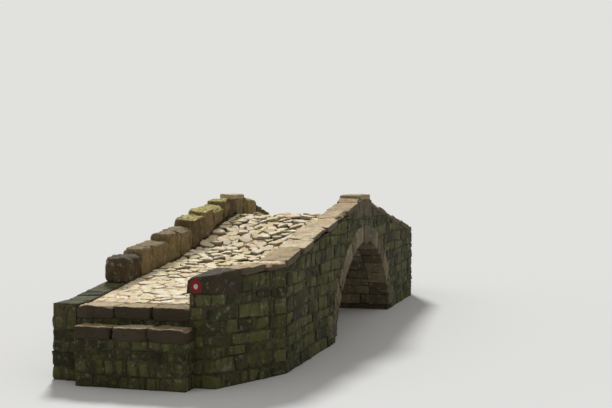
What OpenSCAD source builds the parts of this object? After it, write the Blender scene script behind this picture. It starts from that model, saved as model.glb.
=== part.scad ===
// Humped stone packhorse bridge: one arch, two walled ramps and two steps at each end.
// X runs along the bridge, Y across it, Z up. The origin is under the crown, on the stream bed.

/* [Roadway] */
// Clear width between the parapets
road_w = 2100; // [1800:50:2400]
// From the crown to the nosing of the top step
half_l = 6000; // [5600:50:6600]
// Height of the top step above the stream bed
approach_h = 1000; // [925:25:1250]
// Rise of the straight ramp from the top step to the crown
ramp_rise = 660; // [500:20:760]
// Extra height of the hump over the arch
hump_h = 310; // [240:10:360]
// Reach of the hump to either side of the crown
hump_l = 2500; // [2200:100:3000]
// Length over which the two ramps are rounded together at the crown
crown_round = 500; // [300:50:700]
// Depth of the cobbled paving
paving_t = 120; // [80:10:150]

/* [Arch] */
// Clear span between the springings
span = 4200; // [3800:50:4400]
// Height of the springings above the stream bed
spring_h = 300; // [260:20:400]
// Depth of the arch stones, measured along the radius
ring_t = 300; // [240:10:320]
// Bedding between the arch stones and the paving at the crown
crown_bed = 50; // [40:5:90]
// Arch stones in each face ring, counted without the keystone
voussoirs = 16; // [12:2:20]
// Open joint between two arch stones
ring_joint = 12; // [8:1:16]
// How far the face ring stands out of the wall
ring_proud = 30; // [25:5:45]
// How far the keystone stands out of the wall
key_proud = 45; // [45:5:70]
// How far the keystone hangs below the arch
key_drop = 25; // [10:5:40]
// Height of the springer course below the springing
springer_h = 200; // [150:10:250]
// Length of the springer course into the abutment
springer_l = 520; // [480:20:640]
// Length of each abutment along the bridge
abutment_l = 1150; // [1000:50:1400]
// Height of the rubble backing above the springing
backing_h = 520; // [440:20:640]

/* [Walls] */
// Thickness of the side walls and the parapets
wall_t = 350; // [280:10:420]
// Length of the top step, and of the wall below it
top_tread = 400; // [320:20:480]
// Distance from the crown at which the right wall turns in
wing_x = 4800; // [4500:50:5000]
// How far the right wall has turned in at its end
wing_in = 540; // [300:20:640]

/* [Parapets] */
// Height of the right parapet above the top step where the wall turns
turn_h = 520; // [440:10:600]
// Height of the right parapet above the top step at its end
wing_end_h = 450; // [380:10:520]
// Length of the end stone that closes the right parapet
end_stone_l = 420; // [340:20:500]
// Height of the end stone
end_stone_h = 270; // [220:10:320]
// How far the end stone stands out of the wall to either side
end_stone_proud = 10; // [0:5:20]
// Rise of the parapets for each metre towards the crown
parapet_slope = 165; // [140:5:175]
// Length of the raised block over the crown, at its foot
crest_l = 1200; // [1000:50:1400]
// Length of its cap, to which its ends slope up from the parapet's top
cap_l = 800; // [600:50:900]
// Height of the raised block and its cap above the paving at the crown
crest_h = 370; // [350:10:420]
// Thickness of the cap on the raised block
cap_t = 90; // [70:5:110]
// Thickness of the coping slabs
coping_t = 100; // [80:5:120]
// How far the coping and the caps stand out of the wall
overhang = 20; // [10:5:30]
// Coping slabs on each straight stretch of the right parapet
coping_slabs = 6; // [4:1:8]
// Coping slabs on each stretch that turns in
wing_slabs = 2; // [1:1:3]
// Open joint between two coping slabs
coping_joint = 10; // [6:1:14]
// How far the coping's joints stray from an even spacing
coping_stray = 60; // [0:10:80]
// How far the slabs' outer edges step in and out
coping_edge = 12; // [0:2:16]
// Distance from the crown at which the left parapet ends
left_end_x = 4600; // [4300:50:4800]
// Upright stones in each half of the left parapet
left_stones = 8; // [6:1:10]
// Open joint between two upright stones
left_joint = 18; // [12:1:26]
// How far these joints stray from an even spacing
left_stray = 60; // [0:10:80]
// How far the tops of the upright stones step up and down
left_uneven = 30; // [10:5:40]
// How far the upright stones stand out of line with each other
left_edge = 12; // [0:2:16]
// Distance from the crown beyond which the upright stones are lower
left_low_x = 2200; // [1800:50:2600]
// How much lower they are there
left_low = 100; // [60:10:120]
// How far the first upright stone past the crest stands above the row
left_far_rise = 130; // [80:10:150]

/* [Steps] */
// Thickness of the step stones
step_t = 160; // [120:10:180]
// Drop from the top step to the lower step
riser = 230; // [190:10:260]
// Depth of the lower step
lower_tread = 300; // [260:10:360]
// Length of the lower step across the road
lower_w = 1500; // [1300:50:1600]
// How far the step stones stand out over the walling under them
nosing = 20; // [10:5:40]
// Stones in each step
step_stones = 3; // [2:1:4]
// Open joint between two step stones
step_joint = 10; // [6:1:14]
// How far the lower step reaches in front of the right wall's end
lower_reach = 60; // [0:10:100]

/* [Hidden] */
$fn = 180;
facet_l = 200;
uneven_turn = 137;
side_y = road_w / 2;
face_y = side_y + wall_t;
ramp_l = half_l - top_tread;
rise_per_mm = parapet_slope / 1000;
crown_z = approach_h + ramp_rise + hump_h;
soffit_z = crown_z - paving_t - crown_bed - ring_t;
arch_rise = soffit_z - spring_h;
arch_r = (pow(span / 2, 2) + pow(arch_rise, 2)) / (2 * arch_rise);
arch_z = soffit_z - arch_r;
extrados_r = arch_r + ring_t;
spring_a = asin(span / 2 / arch_r);
stone_a = 2 * spring_a / (voussoirs + 1);
joint_a = ring_joint / arch_r * 180 / PI;
abutment_x = span / 2 + abutment_l;
backing_z = spring_h + backing_h;
lower_y = -side_y + wing_in - lower_reach;
crest_top_z = crown_z + crest_h;
end_stone_x = half_l - end_stone_l;

// The paving's level at a distance from the crown: a straight ramp rounded at the crown, with a bell-shaped hump
function rounded(d) = sqrt(d * d + crown_round * crown_round) - crown_round;
function smooth_z(d) =
    d >= ramp_l ? approach_h
    : approach_h + ramp_rise * (1 - rounded(d) / rounded(ramp_l))
      + (d < hump_l ? hump_h * pow(cos(90 * d / hump_l), 2) : 0);

// The same level as chords, so that everything that meets the roadway shares its edges
function station(i) = min(i * facet_l, ramp_l);
function road_z(x) =
    let (
        d = min(abs(x), ramp_l),
        i = floor(d / facet_l),
        a = station(i),
        b = station(i + 1)
    )
    a == b ? approach_h : smooth_z(a) + (smooth_z(b) - smooth_z(a)) * (d - a) / (b - a);

// Stations between two distances along the bridge, at the ends and wherever the road changes its slope;
// joints() spaces a row of stones evenly, then lets the joints between them stray
function between(x0, x1) = [
    x0,
    for (i = [floor(x0 / facet_l) + 1 : ceil(x1 / facet_l) - 1]) i * facet_l,
    x1
];
function with_ramp_foot(x0, x1) =
    let (foot = x0 < 0 ? -ramp_l : ramp_l)
    foot > x0 && foot < x1 ? concat(between(x0, foot), between(foot, x1)) : between(x0, x1);
function road_line(x0, x1, drop = 0) = [for (x = with_ramp_foot(x0, x1)) [x, road_z(x) - drop]];
function joints(x0, x1, n, stray) = [
    for (i = [0 : n])
        x0 + (x1 - x0) * i / n + (i == 0 || i == n ? 0 : stray * sin(uneven_turn * i))
];
function reversed(list) = [for (i = [len(list) - 1 : -1 : 0]) list[i]];

// The top of the parapets, which falls a little less steeply where the right wall turns in
function parapet_z(x) =
    let (d = abs(x))
    approach_h + (d <= wing_x
        ? turn_h + rise_per_mm * (wing_x - d)
        : turn_h + (wing_end_h - turn_h) * (d - wing_x) / (half_l - wing_x));

// A side view drawn in X and Z becomes a slab from y0 to y1
module slab(y0, y1) {
    translate([0, y1, 0]) rotate([90, 0, 0]) linear_extrude(y1 - y0) children();
}

module far_side() {
    mirror([1, 0, 0]) children();
}

module arch_disc(r) {
    translate([0, arch_z]) circle(r);
}

// The part of the side view under the springing line's radius
module skewback(x_back, z_low) {
    polygon([
        [-span / 2, z_low],
        [-span / 2, spring_h],
        [-extrados_r * sin(spring_a), arch_z + extrados_r * cos(spring_a)],
        [-x_back, arch_z + extrados_r * cos(spring_a)],
        [-x_back, z_low]
    ]);
}

module springer_outline() {
    skewback(span / 2 + springer_l, spring_h - springer_h);
}

module abutment_outline() {
    polygon([
        [-abutment_x, 0],
        [-span / 2, 0],
        [-span / 2, spring_h - springer_h],
        [-abutment_x, spring_h - springer_h]
    ]);
}

module backing_outline() {
    polygon([
        [-abutment_x, 0],
        [-span / 2, 0],
        [-span / 2, backing_z],
        [-abutment_x, spring_h]
    ]);
}

// Below the road's surface by a given depth, from x0 to x1, down to the stream bed
module below_road(x0, x1, drop = 0) {
    polygon(concat([[x1, 0], [x0, 0]], road_line(x0, x1, drop)));
}

module near_abutment() {
    color("dimgray") {
        slab(-face_y, face_y) abutment_outline();
        slab(-side_y, side_y) difference() {
            backing_outline();
            abutment_outline();
            springer_outline();
            arch_disc(extrados_r);
        }
    }
}

module near_springer() {
    color("gray") slab(-face_y - ring_proud, face_y + ring_proud) springer_outline();
}

// One stone of the ring, between two angles from the crown
module ring_stone(a0, a1, r0, r1, y0, y1) {
    translate([0, y1, arch_z]) rotate([90, 0, 0]) rotate([0, 0, 90 - a1])
        rotate_extrude(angle = a1 - a0) translate([r0, 0]) square([r1 - r0, y1 - y0]);
}

module arch_barrel() {
    color("darkgray")
        ring_stone(-spring_a, spring_a, arch_r, extrados_r, -side_y, side_y);
}

module arch_ring(y0, y1) {
    color("darkgray") for (i = [0 : voussoirs])
        if (i != voussoirs / 2)
            ring_stone(
                -spring_a + stone_a * i + (i == 0 ? 0 : joint_a / 2),
                -spring_a + stone_a * (i + 1) - (i == voussoirs ? 0 : joint_a / 2),
                arch_r, extrados_r, y0, y1
            );
}

module keystone(y0, y1) {
    color("silver")
        ring_stone(
            -stone_a / 2 + joint_a / 2, stone_a / 2 - joint_a / 2,
            arch_r - key_drop, extrados_r, y0, y1
        );
}

// A side wall from x0 to the crown, cut round the arch and its abutment
module spandrel_outline(x0) {
    difference() {
        below_road(x0, 0);
        arch_disc(extrados_r);
        abutment_outline();
        springer_outline();
        translate([-span / 2, 0]) square([span, spring_h]);
    }
}

module right_near_spandrel() {
    color("dimgray") slab(-face_y, -side_y) spandrel_outline(-wing_x);
}

module left_near_spandrel() {
    color("dimgray") slab(side_y, face_y) spandrel_outline(-half_l);
}

// Plan of the stretch that turns in, between two distances from the right wall's outer face
module wing_plan(inset, width) {
    polygon([
        [-wing_x, -face_y + inset],
        [-half_l, -face_y + inset + wing_in],
        [-half_l, -face_y + inset + width + wing_in],
        [-wing_x, -face_y + inset + width]
    ]);
}

// A side view over the stretch that turns in, made as wide as the wall and as much as it stands out
module on_wing(proud) {
    intersection() {
        linear_extrude(crest_top_z) wing_plan(-proud, wall_t + 2 * proud);
        slab(-2 * face_y, face_y) children();
    }
}

module wing_wall() {
    color("dimgray") on_wing(0) below_road(-half_l, -wing_x);
}

// Plan of the roadway between the walls, which narrows where the right wall turns in
module road_plan(x0, x1) {
    intersection() {
        polygon([
            [0, -side_y],
            [-wing_x, -side_y],
            [-half_l, -side_y + wing_in],
            [-half_l, side_y],
            [0, side_y]
        ]);
        translate([x0, -face_y]) square([x1 - x0, 2 * face_y]);
    }
}

module near_fill() {
    color("sienna") intersection() {
        linear_extrude(crest_top_z) road_plan(-ramp_l, 0);
        slab(-face_y, face_y) difference() {
            below_road(-ramp_l, 0, paving_t);
            backing_outline();
            abutment_outline();
            springer_outline();
            arch_disc(extrados_r);
            translate([-span / 2, 0]) square([span, spring_h]);
        }
    }
}

module ramp_paving() {
    color("wheat") intersection() {
        linear_extrude(crest_top_z) road_plan(-ramp_l, -hump_l);
        slab(-face_y, face_y) polygon(concat(
            road_line(-ramp_l, -hump_l),
            reversed(road_line(-ramp_l, -hump_l, paving_t))
        ));
    }
}

module crown_paving() {
    color("wheat") slab(-side_y, side_y) difference() {
        polygon(concat(
            road_line(-hump_l, hump_l),
            reversed(road_line(-hump_l, hump_l, paving_t))
        ));
        arch_disc(extrados_r);
    }
}

module end_wall() {
    color("dimgray") intersection() {
        linear_extrude(approach_h - step_t) road_plan(-half_l, -ramp_l);
        translate([-half_l, -face_y, 0]) cube([top_tread, 2 * face_y, approach_h]);
    }
}

// Strips across the road, one for each step stone; the right-hand one reaches further, to meet the wall
module step_strips(y0, y1, x0, x1, reach) {
    stone_w = (y1 - y0) / step_stones;
    for (i = [0 : step_stones - 1]) {
        low = i == 0 ? y0 - reach : y0 + stone_w * i + step_joint / 2;
        high = i == step_stones - 1 ? y1 : y0 + stone_w * (i + 1) - step_joint / 2;
        translate([x0, low]) square([x1 - x0, high - low]);
    }
}

module top_step() {
    color("tan") translate([0, 0, approach_h - step_t]) linear_extrude(step_t) intersection() {
        step_strips(-side_y + wing_in, side_y, -half_l - nosing, -ramp_l, wing_in);
        polygon([
            [-half_l - nosing, -side_y + wing_in],
            [-half_l, -side_y + wing_in],
            [-ramp_l, -side_y + wing_in * (ramp_l - wing_x) / (half_l - wing_x)],
            [-ramp_l, side_y],
            [-half_l - nosing, side_y]
        ]);
    }
}

module lower_step() {
    color("tan") translate([0, 0, approach_h - riser - step_t]) linear_extrude(step_t)
        step_strips(lower_y, lower_y + lower_w, -half_l - lower_tread, -half_l, 0);
}

module step_base() {
    color("dimgray") translate([-half_l - lower_tread + nosing, lower_y, 0])
        cube([lower_tread - nosing, lower_w, approach_h - riser - step_t]);
}

// The right parapet between the road's level and the coping's underside
module parapet_outline(x0, x1) {
    polygon(concat(
        [[x1, parapet_z(x1) - coping_t], [x0, parapet_z(x0) - coping_t]],
        road_line(x0, x1)
    ));
}

module coping_outline(x0, x1) {
    polygon([
        [x0, parapet_z(x0) - coping_t],
        [x1, parapet_z(x1) - coping_t],
        [x1, parapet_z(x1)],
        [x0, parapet_z(x0)]
    ]);
}

module right_parapet() {
    color("gray") slab(-face_y, -side_y) parapet_outline(-wing_x, -crest_l / 2);
}

// One coping slab from x0 to x1, cut back for its joints, its outer edge stepped by its place in the row
module coping_slab(x0, x1, i) {
    slab(-face_y - overhang - coping_edge * sin(uneven_turn * i), -side_y + overhang)
        coping_outline(x0 + coping_joint / 2, x1 - coping_joint / 2);
}

module right_coping() {
    x = joints(-wing_x, -crest_l / 2, coping_slabs, coping_stray);
    color("tan") for (i = [0 : coping_slabs - 1]) coping_slab(x[i], x[i + 1], i);
}

// Side view of the end stone, which has a level bed and follows the parapet's top
module end_stone_outline() {
    bed_z = parapet_z(half_l) - end_stone_h;
    polygon([
        [-half_l, bed_z],
        [-end_stone_x, bed_z],
        [-end_stone_x, parapet_z(end_stone_x)],
        [-half_l, parapet_z(half_l)]
    ]);
}

module wing_parapet() {
    color("gray") on_wing(0) difference() {
        parapet_outline(-half_l, -wing_x);
        end_stone_outline();
    }
}

module end_stone() {
    color("gray") on_wing(end_stone_proud) end_stone_outline();
}

module wing_coping() {
    x = joints(-end_stone_x, -wing_x, wing_slabs, coping_stray);
    color("tan") on_wing(overhang) for (i = [0 : wing_slabs - 1])
        coping_outline(x[i] + coping_joint / 2, x[i + 1] - coping_joint / 2);
}

// One upright stone of the left parapet: its top slopes less than the ramp, so that the row is stepped
module upright_stone(x0, x1, i, rise) {
    mid_x = (x0 + x1) / 2;
    low = abs(mid_x) > left_low_x ? left_low : 0;
    mid_z = parapet_z(mid_x) + left_uneven * sin(uneven_turn * i) - low + rise;
    tilt = rise_per_mm * (x1 - x0) / 4;
    polygon(concat(
        [[x1, mid_z + tilt], [x0, mid_z - tilt]],
        road_line(x0, x1)
    ));
}

module left_parapet(first_rise) {
    x = joints(-left_end_x, -crest_l / 2, left_stones, left_stray);
    color("rosybrown") for (i = [0 : left_stones - 1])
        slab(side_y, face_y - left_edge * (1 + sin(uneven_turn * i)))
            upright_stone(x[i], x[i + 1] - left_joint, i, i == left_stones - 1 ? first_rise : 0);
}

// The raised block: upright ends as high as the parapet, then slopes up to the cap's bed
module crest_block(y0, y1) {
    end_z = min(parapet_z(crest_l / 2), crest_top_z - cap_t);
    bed_l = cap_l - 2 * overhang;
    color("gray") slab(y0, y1) polygon(concat(
        [
            [crest_l / 2, end_z],
            [bed_l / 2, crest_top_z - cap_t],
            [-bed_l / 2, crest_top_z - cap_t],
            [-crest_l / 2, end_z]
        ],
        road_line(-crest_l / 2, crest_l / 2)
    ));
}

module crest_cap(y0, y1) {
    color("silver") translate([-cap_l / 2, y0 - overhang, crest_top_z - cap_t])
        cube([cap_l, y1 - y0 + 2 * overhang, cap_t]);
}

near_abutment();
far_side() near_abutment();  // far_abutment
near_springer();
far_side() near_springer();  // far_springer
arch_barrel();
arch_ring(-face_y - ring_proud, -side_y);  // right_arch_ring
arch_ring(side_y, face_y + ring_proud);  // left_arch_ring
keystone(-face_y - key_proud, -side_y);  // right_keystone
keystone(side_y, face_y + key_proud);  // left_keystone
right_near_spandrel();
far_side() right_near_spandrel();  // right_far_spandrel
left_near_spandrel();
far_side() left_near_spandrel();  // left_far_spandrel
wing_wall();  // near_wing_wall
far_side() wing_wall();  // far_wing_wall
near_fill();
far_side() near_fill();  // far_fill
ramp_paving();  // near_paving
crown_paving();
far_side() ramp_paving();  // far_paving
end_wall();  // near_end_wall
far_side() end_wall();  // far_end_wall
top_step();  // near_top_step
far_side() top_step();  // far_top_step
lower_step();  // near_lower_step
far_side() lower_step();  // far_lower_step
step_base();  // near_step_base
far_side() step_base();  // far_step_base
right_parapet();  // right_near_parapet
far_side() right_parapet();  // right_far_parapet
wing_parapet();  // near_wing_parapet
far_side() wing_parapet();  // far_wing_parapet
right_coping();  // right_near_coping
far_side() right_coping();  // right_far_coping
wing_coping();  // near_wing_coping
far_side() wing_coping();  // far_wing_coping
end_stone();  // near_end_stone
far_side() end_stone();  // far_end_stone
left_parapet(0);  // left_near_parapet
far_side() left_parapet(left_far_rise);  // left_far_parapet
crest_block(-face_y, -side_y);  // right_crest_block
crest_block(side_y, face_y);  // left_crest_block
crest_cap(-face_y, -side_y);  // right_crest_cap
crest_cap(side_y, face_y);  // left_crest_cap
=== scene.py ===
import math

import bpy
import numpy as np
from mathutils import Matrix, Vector


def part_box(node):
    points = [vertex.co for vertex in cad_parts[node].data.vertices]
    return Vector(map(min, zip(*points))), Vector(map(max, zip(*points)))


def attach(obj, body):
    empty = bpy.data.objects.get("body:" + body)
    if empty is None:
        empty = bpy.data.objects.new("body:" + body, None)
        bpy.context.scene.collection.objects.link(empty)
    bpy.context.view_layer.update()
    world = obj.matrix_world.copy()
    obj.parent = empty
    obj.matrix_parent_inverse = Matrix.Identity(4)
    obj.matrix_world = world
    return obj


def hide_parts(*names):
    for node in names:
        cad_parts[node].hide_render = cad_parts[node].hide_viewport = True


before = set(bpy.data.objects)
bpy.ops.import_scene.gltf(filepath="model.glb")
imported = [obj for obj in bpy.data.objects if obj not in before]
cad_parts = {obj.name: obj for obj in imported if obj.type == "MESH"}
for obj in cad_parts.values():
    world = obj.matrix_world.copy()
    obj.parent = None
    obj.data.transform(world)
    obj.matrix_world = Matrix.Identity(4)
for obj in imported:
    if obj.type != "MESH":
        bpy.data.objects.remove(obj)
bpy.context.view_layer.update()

# Cores of the walls, abutments and parapets: rubble packed in lime and earth mortar, laid as the bridge
# went up. The facing stones are bedded in it, so it shows only in their joints. The solids stay, and get
# its finish.
mortar_pale = (84, 76, 54)
mortar_dark = (45, 40, 28)
# Near-black brown: dark earth deep in joints and hollows, with painted shade there.
dark_earth_and_shade = (52, 43, 30)
stone_gloss = 0.25
core_nodes = [
    "near_abutment", "far_abutment", "arch_barrel",
    "right_near_spandrel", "right_far_spandrel", "left_near_spandrel", "left_far_spandrel",
    "near_wing_wall", "far_wing_wall", "near_end_wall", "far_end_wall", "near_step_base", "far_step_base",
    "right_near_parapet", "right_far_parapet", "near_wing_parapet", "far_wing_parapet",
]


def colour(screen):
    """A screen colour from 0 to 255 as the linear colour that a shader takes, by the sRGB curve."""
    share = np.array(screen) / 255
    linear = np.where(share < 0.04045, share / 12.92, ((share + 0.055) / 1.055) ** 2.4)
    return (*linear, 1.0)


def add(tree, kind, inputs, **settings):
    """One shader node: inputs are values to set or sockets to link, and settings are the node's own
    options."""
    made = tree.nodes.new("ShaderNode" + kind)
    for key, value in settings.items():
        setattr(made, key, value)
    for key, value in inputs.items():
        if isinstance(value, bpy.types.NodeSocket):
            tree.links.new(value, made.inputs[key])
        else:
            made.inputs[key].default_value = value
    return made


def blend(tree, factor, first, second):
    """The first colour where the factor is 0 and the second where it is 1."""
    return add(tree, "Mix", {0: factor, 6: first, 7: second}, data_type="RGBA").outputs[2]


def math_of(tree, operation, first, second):
    """The sum, difference or the like of two values."""
    return add(tree, "Math", {0: first, 1: second}, operation=operation).outputs[0]


def times(tree, first, second):
    """The product of two values."""
    return math_of(tree, "MULTIPLY", first, second)


def average(tree, first, second):
    """The mean of two values."""
    return times(tree, math_of(tree, "ADD", first, second), 0.5)


def noise(tree, where, size, detail=3.0):
    """Soft noise around 0.5 whose patches are about as wide as size, in metres."""
    made = add(tree, "TexNoise", {"Vector": where, "Scale": 1 / size, "Detail": detail, "Roughness": 0.6})
    return made.outputs[0]


def between(tree, value, low, high):
    """0 below low, 1 above high, and a smooth rise between them."""
    limits = {"Value": value, "From Min": low, "From Max": high}
    return add(tree, "MapRange", limits, interpolation_type="SMOOTHSTEP").outputs[0]


def new_material(name, roughness):
    """A material with one Principled shader of that roughness, and its object coordinates."""
    material = bpy.data.materials.new(name)
    material.use_nodes = True
    tree = material.node_tree
    shader = tree.nodes["Principled BSDF"]
    shader.inputs["Roughness"].default_value = roughness
    shader.inputs["Specular IOR Level"].default_value = stone_gloss
    where = add(tree, "TexCoord", {}).outputs["Object"]
    return material, tree, shader, where


def connect(tree, shader, tint, height, strength, distance):
    """Gives a shader its colour, and a bump from a height, by that strength and distance in metres."""
    bump = add(tree, "Bump", {"Strength": strength, "Distance": distance, "Height": height})
    tree.links.new(tint, shader.inputs["Base Color"])
    tree.links.new(bump.outputs[0], shader.inputs["Normal"])


def grit_finish(name, roughness, pale, dark, patch, grit, detail, spread, strength, distance):
    """Packed grit. Noise as wide as patch and as grit mixes two browns, fully at spread from its middle,
    and they turn to dark earth with painted shade where depth says that they lie in a hollow. The grit raises
    a bump."""
    material, tree, shader, where = new_material(name, roughness)
    grains = noise(tree, where, grit, detail)
    mixed = average(tree, noise(tree, where, patch), grains)
    tint = blend(tree, between(tree, mixed, 0.5 - spread, 0.5 + spread), colour(dark), colour(pale))
    hollow = add(tree, "Attribute", {}, attribute_name="depth").outputs["Fac"]
    # Dark earth with painted shade in the hollows.
    tint = blend(tree, between(tree, hollow, 0.1, 0.8), tint, colour(dark_earth_and_shade))
    connect(tree, shader, tint, grains, strength, distance)
    return material


def dress(names, material):
    """Gives CAD nodes that stay in view a material in place of their plain one."""
    for name in names:
        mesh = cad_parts[name].data
        mesh.materials.clear()
        mesh.materials.append(material)


mortar = grit_finish(
    "mortar", 0.95, mortar_pale, mortar_dark,
    patch=0.30, grit=0.04, detail=6.0, spread=0.15, strength=0.6, distance=0.020,
)
dress(core_nodes, mortar)

# Arch: a barrel of squared stones turned over a timber centring, with a ring of larger stones in each face.
# The rings stand a little out of the walls and their keystones further. All rest on the springer courses.
half_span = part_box("far_abutment")[0].x
road_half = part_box("arch_barrel")[1].y
spring_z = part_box("arch_barrel")[0].z
ring_depth = 0.300
arch_stones = 16
arch_joint = 0.012
springer_length = 0.55
skew_length = 0.62
springer_gap = np.array([0.004, 0.003])
barrel_course = 0.23
barrel_length = 0.42
barrel_joint = 0.014
barrel_back = 0.10
barrel_proud = 0.008
arch_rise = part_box("arch_barrel")[1].z - ring_depth - spring_z
arch_radius = (half_span**2 + arch_rise**2) / (2 * arch_rise)
arch_centre_z = spring_z + arch_rise - arch_radius
spring_angle = math.asin(half_span / arch_radius)
arch_pale = (130, 120, 95)
arch_dark = (76, 70, 54)
moss_colour = (78, 82, 36)
moss_on_top = (224, 210, 126)
moss_below = (122, 114, 54)
lichen_colour = (176, 172, 148)
ochre_stain = np.array([1.00, 0.86, 0.70])
green_stain = np.array([0.96, 0.97, 0.76])
crest_moss_from = 3.0
crest_moss_full = 1.6
edge_waves = {0.12: 0.6}
face_waves = {0.24: 1.0, 0.09: 0.5, 0.04: 0.25}
sharpest_edge = 0.003
chip_tilt = 0.30
noise_apart = 50
joint_lean = 0.12
bed_waves = 2.6
never_deep = 9.0
same_plane = 0.002


def stone_finish(
    name, pale, dark, moss, lichen, streaks=0.0, top_moss=0.0, grain=0.5, upright_shade=0.0, seams=0.0, stain=0.4
):
    """Weathered stone. Each stone's own tone and noise of 25 cm mix the two colours. Layers go over them in
    turn: stains of ochre and of green, grain and pits of 1 to 3 cm, lichen, streaks that run down it, level
    seams where it splits, painted shade on its upright faces, and moss. Top moss lies on upward faces towards
    the crest, and what lies deep in a joint turns to dark earth with painted shade. The same noises raise a
    bump."""
    material, tree, shader, where = new_material(name, 0.92)
    pale, dark = np.array(pale), np.array(dark)
    tone = add(tree, "Attribute", {}, attribute_name="tone").outputs["Fac"]
    depth = add(tree, "Attribute", {}, attribute_name="depth").outputs["Fac"]
    facing = add(tree, "SeparateXYZ", {0: add(tree, "NewGeometry", {}).outputs["Normal"]}).outputs["Z"]
    patches = noise(tree, where, 0.25, 4.0)
    grains = noise(tree, where, 0.03, 5.0)
    pits = noise(tree, where, 0.011, 3.0)
    tint = blend(tree, between(tree, average(tree, tone, patches), 0.28, 0.72), colour(dark), colour(pale))
    height = math_of(tree, "ADD", times(tree, patches, 1.6), grains)
    height = math_of(tree, "ADD", height, times(tree, pits, 0.35))
    # Each layer: its mask, where that starts to show and where it is full, how much it covers, its colour.
    layers = [
        (noise(tree, where, 0.17, 5.0), 0.50, 0.62, stain, ochre_stain * (pale + dark) / 2),
        (noise(tree, where, 0.23, 5.0), 0.50, 0.62, stain, green_stain * (pale + dark) / 2),
        (grains, 0.50, 0.30, grain, 0.62 * dark),
        (pits, 0.42, 0.30, grain, 0.62 * dark),
        (noise(tree, where, 0.09, 6.0), 0.55, 0.66, lichen, lichen_colour),
    ]
    if streaks:
        drawn_down = add(tree, "Mapping", {"Vector": where, "Scale": (1.0, 1.0, 0.12)}).outputs[0]
        layers.append((noise(tree, drawn_down, 0.07, 5.0), 0.48, 0.68, streaks, 0.55 * dark))
    if seams:
        drawn_level = add(tree, "Mapping", {"Vector": where, "Scale": (0.10, 0.10, 1.0)}).outputs[0]
        seam = (noise(tree, drawn_level, 0.025, 4.0), 0.47, 0.34)
        layers.append((*seam, seams, 0.5 * dark))
        height = math_of(tree, "SUBTRACT", height, times(tree, between(tree, *seam), seams))
    # Painted shade: upright faces turn towards a dark brown, as if out of the light.
    layers.append((facing, 0.75, 0.25, upright_shade, 0.4 * dark))
    layers.append((noise(tree, where, 0.22, 5.0), 0.78 - 0.5 * moss, 0.95 - 0.5 * moss, 0.85, moss_colour))
    for mask, start, full, amount, shade in layers:
        tint = blend(tree, times(tree, between(tree, mask, start, full), amount), tint, colour(shade))
    if top_moss:
        along = math_of(tree, "ABSOLUTE", add(tree, "SeparateXYZ", {0: where}).outputs["X"], 0.0)
        cushion = times(tree, between(tree, along, crest_moss_from, crest_moss_full), 0.52)
        cushion = between(tree, math_of(tree, "ADD", noise(tree, where, 0.10, 5.0), cushion), 0.84, 1.00)
        cushion = times(tree, cushion, between(tree, facing, 0.30, 0.65))
        green = blend(tree, between(tree, grains, 0.35, 0.65), colour(moss_below), colour(moss_on_top))
        tint = blend(tree, times(tree, cushion, top_moss), tint, green)
    # Dark earth and painted shade where a surface lies deep in a joint or low on a stone's side.
    tint = blend(tree, between(tree, depth, 0.25, 1.0), tint, colour(dark_earth_and_shade))
    connect(tree, shader, tint, height, 0.75, 0.014)
    return material


def grid_quads(index):
    """The quads between the points of a grid, from the points' numbers."""
    return np.stack([index[:-1, :-1], index[1:, :-1], index[1:, 1:], index[:-1, 1:]], -1).reshape(-1, 4)


def block_grid(across, up, deep):
    """The surface of a cube from -1 to 1 as a grid of that many quads along each axis, closer near the
    edges by a sine. Returns the points and the quads, which face outwards."""
    counts = (across, up, deep)
    points, quads, first = [], [], 0
    for axis in range(3):
        one, two = (axis + 1) % 3, (axis + 2) % 3
        i, j = np.meshgrid(np.arange(counts[one] + 1), np.arange(counts[two] + 1), indexing="ij")
        for side in (-1, 1):
            grid = np.zeros((*i.shape, 3))
            grid[..., one] = np.sin(math.pi / 2 * (2 * i / counts[one] - 1))
            grid[..., two] = np.sin(math.pi / 2 * (2 * j / counts[two] - 1))
            grid[..., axis] = side
            index = first + np.arange(i.size).reshape(i.shape)
            points.append(grid.reshape(-1, 3))
            quads.append(grid_quads(index)[:, ::side])
            first += i.size
    points, joined = np.unique(np.round(np.concatenate(points), 9), axis=0, return_inverse=True)
    return points, joined.ravel()[np.concatenate(quads)]


def waves(points, rng, sizes, count=14):
    """Smooth noise: for each size in metres, its share times a sum of sine waves about that long in random
    directions, which is about -1 to 1."""
    total = 0
    for size, share in sizes.items():
        push = rng.normal(size=(count, 3))
        push *= (2 * math.pi / size * rng.uniform(0.7, 1.4, count) / np.linalg.norm(push, axis=1))[:, None]
        swing = np.sin(points @ push.T + rng.uniform(0, 2 * math.pi, count)).sum(-1)
        total = total + share * (swing * math.sqrt(2 / count) / 2)
    return total


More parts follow.
